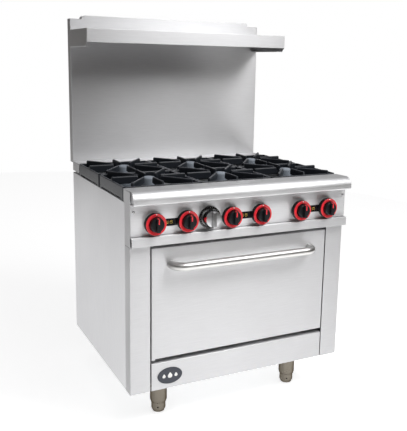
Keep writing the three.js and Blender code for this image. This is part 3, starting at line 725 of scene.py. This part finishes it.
def make_leg(end, side):
    leg = f"{end}_{side}_leg"
    foot = f"{end}_{side}_foot"
    lo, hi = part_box(leg)
    centre = Vector((middle(leg).x, middle(leg).y, 0))
    plate = (hi.x - lo.x) / 2
    plate_under = hi.z - 3 * MM
    tube = plate - 14.7 * MM
    radius = (high(foot).x - low(foot).x) / 2
    bore = radius + 0.5 * MM
    profile = [(0, 130 * MM), (bore, 130 * MM)]
    profile += near((bore, lo.z), (0, 0), (1.2, 0), (2.2, 1))
    profile += near((tube, lo.z), (-0.6, 7.5), (0, 10))
    profile += near((tube, plate_under), (0, -2), (1.5, -0.3))
    profile += near((plate, plate_under), (-0.5, 0), (0, 0.5), (0, 3))
    profile += [(0, hi.z)]
    place(turned(f"{leg}_turned", profile, centre), "cabinet", "leg_metal", LEG_METAL, leg)
    for i in range(4):
        reach = level_direction(45 + 90 * i) * ((tube + plate) / 2 + 0.8 * MM)
        make_screw(f"{leg}_screw_{i}", centre + reach + Vector((0, 0, plate_under)), 0, 4 * MM)
    profile = near((radius, 0), (-7, 0), (-5.6, 0.6), (-0.8, 10.6), (0, 12))
    profile = [(0, 0), *profile, (radius, high(foot).z), (0, high(foot).z)]
    piece = turned(f"{foot}_turned", profile, centre, "Z", 96)
    bar_hole = centre + Vector((0, 0, 22 * MM))
    for turn in (64, 154):
        along = level_direction(turn) * 2 * radius
        carve(piece, swept("bar_hole", [bar_hole - along, bar_hole + along], 3 * MM))
    place(soften(piece, 0.3 * MM), foot, "leg_metal", LEG_METAL, foot)


make_screws()
for row in ROWS:
    for side_name in SIDES:
        make_leg(row, side_name)

# ---------------- door handle, rack and pipes


def make_door_handle():
    lo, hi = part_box("door_handle")
    radius = (hi.z - lo.z) / 2
    bar = lo.y + radius
    left, right = lo.x + radius, hi.x - radius
    corners = [(left, hi.y), (left, bar), (right, bar), (right, hi.y)]
    route = rounded_route([(x, y, middle("door_handle").z) for x, y in corners], 43 * MM, 28)
    place(swept("handle_tube", route, radius, 48), "oven_door", "handle_steel", STEEL_TUBE, "door_handle")


def make_oven_rack():
    lo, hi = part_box("oven_rack")
    rod = (hi.z - lo.z) / 2
    wire = 2.2 * MM
    height = middle("oven_rack").z
    left, right = lo.x + rod, hi.x - rod
    front, back = lo.y + rod, hi.y - rod
    corners = [(0, front), (left, front), (left, back), (right, back), (right, front), (0, front)]
    rods = [swept("rack_rim", rounded_route([(x, y, height) for x, y in corners], 14 * MM, 8), rod, 16)]
    for share in (1 / 3, 2 / 3):
        y = lo.y + (hi.y - lo.y) * share
        rods.append(swept("rack_bar", [(left + rod, y, height), (right - rod, y, height)], rod, 16))
    spaces = 24
    wire_height = height + rod - wire
    for i in range(1, spaces):
        x = lo.x + (hi.x - lo.x) * i / spaces
        rods.append(swept("rack_wire", [(x, front, wire_height), (x, back, wire_height)], wire, 12))
    place(joined("rack_wires", rods), "oven_rack", "chrome", CHROME, "oven_rack")


def make_gas_manifold():
    """Pipe along the valves, with a screwed elbow at each turn and an open end at the back."""
    lo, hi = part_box("gas_manifold")
    pipe = 13.35 * MM
    bore = 9.9 * MM
    top = hi.z - pipe - MM
    bottom = lo.z + pipe + MM
    along = FRONT + 20 * MM
    across = hi.x - pipe - MM
    route = [(lo.x, along, top), (across, along, top), (across, along, bottom)]
    route = rounded_route([*route, (across, hi.y - 6 * MM, bottom)], 14.5 * MM, 8)
    pieces = [swept("manifold_run", route, pipe - 0.2 * MM, 32)]
    for z, inward, onward in ((top, (-1, 0, 0), (0, 0, -1)), (bottom, (0, 0, 1), (0, 1, 0))):
        corner = Vector((across, along, z))
        ends = [corner + Vector(way) * 15 * MM for way in (inward, onward)]
        turn = rounded_route([ends[0], corner, ends[1]], 12 * MM, 10)
        pieces.append(swept("manifold_elbow", turn, pipe + 0.8 * MM, 32))
    profile = near((bore, 0), (0, 30)) + near((pipe, 0), (0, 30), (0, 14), (0.4, 13), (0.4, 2), (-1.2, 0))
    profile += near((bore, 0), (0.5, 0), (0, 1), (0, 30))
    tip = turned("manifold_tip", profile, (0, 0, 0), "Z", 48)
    end = Matrix.Translation(Vector((across, hi.y, bottom)))
    tip.data.transform(end @ Matrix.Rotation(radians(90), 4, "X"))
    place(joined("manifold_pipe", [*pieces, tip]), "cabinet", "pipe_black", PIPE_BLACK, "gas_manifold")


make_door_handle()
make_oven_rack()
make_gas_manifold()
dress("oven_burner", BURNER_IRON)
for name in ("thermostat", *SPOTS):
    dress(f"{name}_valve", BRASS)

# ---------------- grates


def make_finger(start, end, bottom, top):
    """Cast fin from the rim towards the burner, with drafted sides, a round crest and blunt round ends."""
    along = (end - start).normalized()
    side = Vector((-along.y, along.x, 0))
    length = (end - start).length
    half_width = 6.25 * MM
    edge = 3.5 * MM
    crest = 4.5 * MM
    rings = []
    stations = (
        (0, 0.1, 0.5), (0.12 * edge, 0.45, 0.75), (0.4 * edge, 0.78, 0.92), (edge, 1, 1),
        (length / 2, 1, 0.92), (length - 2 * edge, 1, 0.98), (length - edge, 1, 1),
        (length - 0.4 * edge, 0.78, 0.92), (length - 0.12 * edge, 0.45, 0.75), (length, 0.1, 0.5),
    )
    for reach, fullness, girth in stations:
        centre = start + along * reach
        peak = top - (1 - fullness) * 4 * MM - crest
        half = half_width * girth
        under = bottom + (top - bottom) * 0.35 * max(0.0, reach / length - 0.3)
        ring = [(-half, under), (half, under)]
        for angle in range(0, 181, 20):
            turn = radians(angle)
            ring.append((half * 0.8 * cos(turn), peak + crest * sin(turn)))
        rings.append([centre + side * a + Vector((0, 0, z)) for a, z in ring])
    return loft("grate_fin", rings, sharp=50)


def make_grate(spot):
    """Cast frame with a slot under each side, and eight fins that carry the pans."""
    node = f"{spot}_grate"
    lo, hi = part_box(node)
    centre = Vector((middle(node).x, middle(node).y, 0))
    half_x = (hi.x - lo.x) / 2
    half_y = (hi.y - lo.y) / 2
    corner = 12 * MM
    rings = []
    levels = near((0, hi.z - 13 * MM), (0, -3), (0.56, -0.9), (1.4, 0), (6.4, 0), (7.5, -1), (8, -3))
    for inset, z in [(0, lo.z), *levels, (8 * MM, lo.z)]:
        radius = max(corner - inset, 4 * MM)
        outline = rounded_rectangle(half_x - inset, half_y - inset, radius, centre, 8)
        rings.append([(x, y, z) for x, y in outline])
    skirt = loft("grate_skirt", rings, closed=True, sharp=40)
    slot = 7 * MM
    for axis, half, offset, depth, through in (
        ("X", half_y, centre.y, half_x, centre.x), ("Y", half_x, centre.x, half_y, centre.y),
    ):
        span = half - 26 * MM
        profile = [(-span, lo.z - MM), (span, lo.z - MM)]
        profile += arc((span - slot, lo.z), slot, 0, 90, 6)
        profile += arc((-span + slot, lo.z), slot, 90, 180, 6)
        outline = [(a + offset, z) for a, z in profile]
        reach = depth + 5 * MM
        carve(skirt, prism("grate_slot", outline, axis, through - reach, through + reach))
    bottom = hi.z - 30 * MM
    opening = 45 * MM
    spans = []
    for sign in (-1, 1):
        spans.append(((sign * (half_x - 4 * MM), 0), (sign * opening, 0)))
        spans.append(((0, sign * (half_y - 4 * MM)), (0, sign * opening)))
        for other in (-1, 1):
            rim_end = (sign * 118 * MM, other * (half_y - 5 * MM))
            spans.append((rim_end, (sign * 35 * MM, other * 32 * MM)))
    fins = [make_finger(*(centre + Vector((x, y, 0)) for x, y in span), bottom, hi.z) for span in spans]
    piece = joined(f"{node}_casting", [skirt, *fins])
    place(soften(piece, 0.8 * MM, 2, 42), node, "grate_iron", GRATE_IRON, node)


for name in SPOTS:
    make_grate(name)

# ---------------- burners


def make_burner(spot):
    """Burner head with its ports, and the mixing tube that brings gas from the valve."""
    node = f"{spot}_burner"
    lo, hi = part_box(node)
    grate = middle(f"{spot}_grate")
    centre = (grate.x, grate.y, 0)
    knob = middle(f"{spot}_knob")
    ports = 24

    def with_ports(r, h, angle):
        if abs(r - 40 * MM) < 0.6 * MM and cos(ports * angle) > 0.2:
            return r - 1.3 * MM
        return r

    profile = [(0, lo.z), (18 * MM, lo.z)]
    profile += near(
        (0, hi.z), (18, -109), (30, -92), (36, -86), (39, -79), (40, -74), (40, -66), (40.8, -64),
        (40.8, -58), (39, -55.5), (30, -51), (26, -48), (25, -44), (25, -9), (24.4, -6), (22.6, -3.4),
        (19.6, -1.4), (17, -0.4), (14, 0), (0, 0),
    )
    head = turned("burner_head", profile, centre, "Z", 144, 40, with_ports)
    mouth = FRONT + 58 * MM
    corners = [(knob.x, mouth), (knob.x, grate.y - 90 * MM), (grate.x, grate.y)]
    route = rounded_route([(x, y, knob.z) for x, y in corners], 60 * MM, 8)
    mixer = swept("burner_tube", route, 12 * MM, 28)
    route = [(knob.x, mouth + reach * MM, knob.z) for reach in (0, 2, 10, 18, 22)]
    bell = swept("burner_bell", route, [radius * MM for radius in (13.4, 13.5, 13.5, 13.2, 12.2)], 32)
    place(joined(f"{node}_casting", [head, mixer, bell]), "cabinet", "burner_iron", BURNER_IRON, node)


for name in SPOTS:
    make_burner(name)

# ---------------- knobs, rings, labels and badge

KNOB_BORE = 3.4 * MM


def facing_panel(x, z, reach):
    """A point in front of the cabinet's front plane by reach."""
    return Vector((x, FRONT - reach, z))


def make_knob_ring(spot):
    """Black collar on the panel with a red ring around its face and a white dot at the top."""
    knob = middle(f"{spot}_knob")
    centre = facing_panel(knob.x, knob.z, 0)
    inner = high(f"{spot}_knob").x - knob.x + 1.2 * MM
    profile = near((inner, 0), (0, 9.2)) + near((0, 0), (39, 9.2), (39, 24.4), (38.7, 25.6), (38, 26))
    profile += near((inner, 0), (0, 26), (0, 9.2))
    place(turned(f"{spot}_collar", profile, centre, "Y", 96), "cabinet", "knob_black", KNOB_BLACK)
    face = near(
        (0, 0), (38.2, 25.9), (38.6, 27), (38.5, 28.2), (38, 29.3), (37.2, 29.9), (36.4, 30), (35.6, 29.8),
        (35.2, 29.3), (34.6, 29.2), (31.8, 29.2), (31.4, 28.9), (30.8, 28.8),
    )
    profile = near((inner, 0), (0, 25.9)) + face + near((inner, 0), (0.5, 28.7), (0, 28.2), (0, 25.9))
    place(turned(f"{spot}_red_ring", profile, centre, "Y", 96, 60), "cabinet", "ring_red", RING_RED)
    profile = near((0, 0), (0, 29.3), (2.1, 29.3), (2.1, 30.1), (1.7, 30.3), (0, 30.3))
    dot = turned(f"{spot}_dot", profile, centre + Vector((0, 0, 36.1 * MM)), "Y", 24)
    place(dot, "cabinet", "mark_light", MARK_WHITE)


def make_grip(name, knob, back, front, half_width, half_length):
    """Finger bar across a knob: narrower towards the cook, with every edge rounded."""
    rings = []
    sections = (
        (back, 0.9, 0.6, 3), ((back + front) / 2, 0.4, 0.2, 3), (front - 2 * MM, 0, 0, 3),
        (front - 0.8 * MM, -0.4, -0.4, 2.6), (front - 0.2 * MM, -1.1, -1.1, 2), (front, -2.2, -2.2, 1.2),
    )
    for reach, wider, longer, corner in sections:
        half = half_width + wider * MM
        radius = min(corner * MM, half - 0.1 * MM)
        outline = rounded_rectangle(half, half_length + longer * MM, radius, (knob.x, knob.z), 5)
        rings.append([facing_panel(a, b, reach) for a, b in outline])
    return loft(name, rings, sharp=60)


def make_burner_knob(spot):
    node = f"{spot}_knob"
    lo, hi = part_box(node)
    knob = middle(node)
    radius = (hi.x - lo.x) / 2
    front = FRONT - lo.y
    flutes = 30

    def fluted(r, h, angle):
        if abs(r - radius) < 0.5 * MM and h > 14 * MM:
            return r - 0.35 * MM * (1 + cos(flutes * angle)) / 2
        return r

    profile = near((KNOB_BORE, 0), (0, 36), (0, 12))
    profile += near((radius, 0), (-0.6, 12), (0, 12.8), (0, 37), (-0.5, 40), (-1.8, 42.4))
    profile += near((radius, 0), (-3.6, 43.7), (-6, 44))
    profile += near((KNOB_BORE, 0), (0, 44), (0, 36))
    cap = turned("knob_cap", profile, facing_panel(knob.x, knob.z, 0), "Y", 180, 45, fluted)
    grip = make_grip("knob_grip", knob, 42 * MM, front, 6.8 * MM, 24.4 * MM)
    place(joined(f"{node}_moulding", [cap, grip]), node, "knob_black", KNOB_BLACK, node)
    half = 2.3 * MM
    depth = 2 * MM
    corners = ((-half, depth), (half, depth), (half, 0), (-half, 0))
    rings = []
    for z, reach in near((knob.z, front), (6, 0.2), (22.4, 0.2), (24.6, -2), (25.6, -5), (26, -13)):
        rings.append([facing_panel(knob.x + a, z - sunk, reach - sunk) for a, sunk in corners])
    pointer = loft(f"{node}_pointer", rings, sharp=50)
    place(soften(pointer, 0.15 * MM, 2), node, "ring_red", RING_RED)


def make_thermostat_scale(knob):
    """Fixed black plate behind the thermostat's knob, with a ring of light marks."""
    inner = 34.2 * MM
    profile = near((inner, 0), (0, 9.2)) + near((0, 0), (42, 9.2), (42, 14.6), (41.5, 15.6), (40.5, 16))
    profile += near((inner, 0), (0.6, 16), (0, 15.4), (0, 9.2))
    plate = turned("thermostat_plate", profile, facing_panel(knob.x, knob.z, 0), "Y", 120)
    place(plate, "cabinet", "label_black", LABEL_BLACK)
    for i in range(25):
        angle = radians(-60 + 300 * i / 24)
        start = 36.4 * MM
        length, half = (3.6 * MM, 0.35 * MM) if i % 4 == 0 else (2.2 * MM, 0.22 * MM)
        along = Vector((cos(angle), 0, sin(angle)))
        side = Vector((-sin(angle), 0, cos(angle)))
        corners = ((start, -half), (start + length, -half), (start + length, half), (start, half))
        rings = []
        for reach in (15.9 * MM, 16.15 * MM):
            level = facing_panel(knob.x, knob.z, reach)
            rings.append([level + along * a + side * b for a, b in corners])
        place(loft(f"thermostat_mark_{i:02d}", rings), "cabinet", "mark_light", MARK_WHITE)


def make_thermostat_knob():
    """Black scalloped skirt under a bright dial with a finger bar and one red mark."""
    node = "thermostat_knob"
    lo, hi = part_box(node)
    knob = middle(node)
    centre = facing_panel(knob.x, knob.z, 0)
    radius = (hi.x - lo.x) / 2
    face = radius - 3.4 * MM
    waves = 20

    def scalloped(r, h, angle):
        """Round bites along the skirt's edge, for the fingers."""
        if r > radius - 3 * MM:
            return r - 1.2 * MM * (0.5 + 0.5 * cos(waves * angle)) ** 2
        return r

    profile = near((KNOB_BORE, 0), (0, 36), (0, 12)) + near((27 * MM, 0), (0, 12), (0.4, 12.4), (0.4, 17))
    profile += near((radius, 0), (-3.2, 18), (-1.6, 18.6), (-1, 19.6), (-1, 22.4), (-1.4, 24), (-2.2, 25))
    profile += near((face, 0), (0.4, 26), (0.2, 40)) + near((KNOB_BORE, 0), (0, 40), (0, 36))
    skirt = turned("thermostat_skirt", profile, centre, "Y", 240, 40, scalloped)
    place(skirt, node, "knob_black", LABEL_BLACK, node)
    profile = near((face, 0), (0, 39), (0, 44.6), (-0.3, 45.6), (-1.2, 46))
    profile = near((KNOB_BORE, 0), (0, 39)) + profile + near((KNOB_BORE, 0), (0, 46), (0, 39))
    place(turned("thermostat_dial", profile, centre, "Y", 120, 40), node, "chrome", DIAL_METAL)
    grip = make_grip("thermostat_grip", knob, 45 * MM, FRONT - lo.y, 8 * MM, 27.4 * MM)
    place(grip, node, "chrome", GRIP_METAL)
    rings = []
    for i in range(-10, 11):
        up = i * MM
        deep = max(27 * MM, 15.6 * MM + 2.8 * abs(up))
        ring = []
        for lift, reach in ((-1 * MM, deep), (0.9 * MM, deep), (0.9 * MM, 44.6 * MM), (-1 * MM, 44.6 * MM)):
            out = sqrt((face + lift) ** 2 - up ** 2)
            ring.append(facing_panel(knob.x - out, knob.z + up, reach))
        rings.append(ring)
    place(soften(loft("thermostat_red_mark", rings), 0.2 * MM), node, "ring_red", RING_RED)


def make_label(column):
    """Black strip between a column's two knobs, with a small picture of which burner each knob lights."""
    left = middle(f"{column}_front_knob")
    right = middle(f"{column}_rear_knob")
    centre_x = (left.x + right.x) / 2
    half = (right.x - left.x) / 2 - 36 * MM
    outline = rounded_rectangle(half, 13.5 * MM, 1.2 * MM, (centre_x, left.z))
    strip = prism(f"{column}_label", outline, "Y", PANEL_FACE - 0.1 * MM, PANEL_FACE - 0.8 * MM)
    place(soften(strip, 0.15 * MM, 1), "cabinet", "label_black", LABEL_BLACK)
    outlines = []
    for share, lit in ((-0.58, -1), (0.02, 1)):
        x = centre_x + half * share
        for bar in (-1, 1):
            level = (x, left.z + bar * 4.6 * MM)
            upright = (x + bar * 4.2 * MM, left.z)
            outlines.append(rounded_rectangle(4.4 * MM, 0.45 * MM, 0.3 * MM, level, 3))
            outlines.append(rounded_rectangle(0.45 * MM, 5 * MM, 0.3 * MM, upright, 3))
        outlines.append(oval((x, left.z + lit * 2.1 * MM), 1.5 * MM, 1.5 * MM, 20))
    marks = [prism("mark", line, "Y", PANEL_FACE - 0.7 * MM, PANEL_FACE - 0.95 * MM) for line in outlines]
    place(joined(f"{column}_label_marks", marks), "cabinet", "mark_light", MARK_YELLOW)


def flame_outline(x, z, height):
    """A plain teardrop flame standing on a point."""
    outline = []
    for i in range(24):
        angle = 2 * pi * i / 24
        width = height * 0.442 * sin(angle) * (0.5 + 0.5 * cos(angle)) ** 0.5
        outline.append((x + width, z - height * 0.42 * cos(angle) + height * 0.1))
    return outline


def make_badge():
    """Oval plate on the kick panel: dark face, slim rim and three plain flames."""
    x = low("kick_panel").x + 73 * MM
    z = middle("kick_panel").z - 3 * MM

    def plate(name, levels, closed, sharp):
        rings = []
        for inset, reach in near((0, 0), *levels):
            outline = oval((x, z), 49.5 * MM - inset, 32 * MM - inset, 72)
            rings.append([facing_panel(a, b, reach) for a, b in outline])
        place(loft(name, rings, closed, sharp), "cabinet", "label_black", BADGE_SLATE)

    plate("badge_rim", ((0, 0.1), (0, 1.4), (0.4, 2), (1, 2.1), (1.5, 1.8), (1.5, 0.1)), True, 60)
    plate("badge_face", ((1.6, 0.2), (1.6, 1.3), (8, 1.9), (20, 2.2)), False, 40)
    flames = []
    for offset, size in ((-24, 19), (0, 27), (24, 19)):
        outline = flame_outline(x + offset * MM, z - 1 * MM, size * MM)
        flames.append(prism("flame", outline, "Y", FRONT - 1.2 * MM, FRONT - 2.4 * MM))
    place(soften(joined("badge_flames", flames), 0.3 * MM), "cabinet", "chrome", MARK_WHITE)


for name in SPOTS:
    make_knob_ring(name)
    make_burner_knob(name)
for name in COLUMNS:
    make_label(name)
make_thermostat_scale(middle("thermostat_knob"))
make_thermostat_knob()
make_badge()

# ---------------- stage, light and camera


def make_stage():
    """A round pale floor around the range, lit from within a little so that it stays white."""
    edge = oval((-0.6, 1.6), 4.2, 4.2, 96)
    floor = build("floor", [(x, y, 0) for x, y in edge], [tuple(range(len(edge)))])
    material, tree, shader = new_material(
        "pale floor", (0.82, 0.82, 0.82), 0.6, Emission_Color=(1, 1, 1), Emission_Strength=0.68)
    grain = spread(tree, noise(tree, 60, detail=3.0))
    feed(tree, shader, Base_Color=blend_colors(tree, grain, (0.8, 0.8, 0.8), (0.84, 0.84, 0.84)))
    floor.data.materials.append(material)


def make_light(name, place_at, aim_at, size, power, beam=180):
    data = bpy.data.lights.new(name, "AREA")
    data.shape = "RECTANGLE"
    data.size, data.size_y = size
    data.energy = power
    data.spread = radians(beam)
    light = link(name, data)
    light.location = place_at
    light.rotation_euler = (Vector(aim_at) - Vector(place_at)).to_track_quat("-Z", "Y").to_euler()


def make_world():
    """White behind the range for the camera. In reflections it is a dark studio with a paler corner."""
    world = bpy.data.worlds.new("studio")
    world.use_nodes = True
    tree = world.node_tree
    tree.nodes.clear()
    coordinates = add(tree, "TexCoord")
    x, y, z = add(tree, "SeparateXYZ", Vector=coordinates.outputs["Generated"]).outputs
    stops = (
        (0.0, (0.4, 0.4, 0.4)), (0.42, (0.12, 0.11, 0.1)), (0.5, (0.055, 0.048, 0.042)),
        (0.66, (0.05, 0.044, 0.038)), (0.8, (0.3, 0.3, 0.3)), (1.0, (0.42, 0.42, 0.43)),
    )
    ramp = add(tree, "ValToRGB", Fac=spread(tree, z, 0.0, 1.0, -1.0, 1.0))
    while len(ramp.color_ramp.elements) < len(stops):
        ramp.color_ramp.elements.new(0.5)
    for element, (position, shade) in zip(ramp.color_ramp.elements, stops):
        element.position = position
        element.color = (*shade, 1)
    shares = [combine(tree, "Math", "MULTIPLY", side, share) for side, share in ((x, 0.6), (y, 0.8))]
    corner = spread(tree, combine(tree, "Math", "ADD", *shares), 0.0, 0.6, 0.5, 0.95)
    color = blend_colors(tree, corner, ramp.outputs["Color"], (0.5, 0.5, 0.5))
    mix = add(tree, "MixShader", Fac=add(tree, "LightPath").outputs["Is Camera Ray"])
    for socket, tint in zip(mix.inputs[1:], (color, (1, 1, 1))):
        connect(tree, socket, add(tree, "Background", Color=tint).outputs["Background"])
    add(tree, "OutputWorld", Surface=mix.outputs["Shader"])
    bpy.context.scene.world = world


def make_camera():
    place_at = Vector((-1.20323, -2.53305, 1.35814))
    yaw, pitch, roll = 0.4742, 0.1916, -0.0211
    forward = Vector((sin(yaw) * cos(pitch), cos(yaw) * cos(pitch), -sin(pitch)))
    right = Vector((cos(yaw), -sin(yaw), 0))
    down = forward.cross(right)
    rolled_right = right * cos(roll) + down * sin(roll)
    rolled_down = down * cos(roll) - right * sin(roll)
    data = bpy.data.cameras.new("camera")
    data.sensor_width = 36.0
    data.lens = 56.18
    data.shift_x = -0.0470
    data.shift_y = -0.0541
    data.clip_end = 200
    camera = link("camera", data)
    turn = Matrix((rolled_right, -rolled_down, -forward)).transposed().to_4x4()
    camera.matrix_world = Matrix.Translation(place_at) @ turn
    bpy.context.scene.camera = camera


make_stage()
make_world()
make_light("key", (1.4, -1.9, 3.3), (0, 0.1, 1.2), (1.5, 1.5), 42)
make_light("key_left", (0.25, -1.9, 3.3), (0, 0.1, 1.2), (0.8, 1.5), 6)
make_light("key_low", (1.6, -2.4, 2.75), (0, 0.1, 1.2), (1.4, 0.8), 9)
make_light("key_high", (1.0, -1.4, 3.9), (0, 0.1, 1.2), (1.4, 1.2), 5)
make_light("floor_light", (0.5, -2.1, 2.3), (0.5, -2.1, 0), (2.6, 1.8), 26, beam=95)
make_camera()

view = bpy.context.scene.view_settings
view.view_transform = "Standard"
view.look = "None"
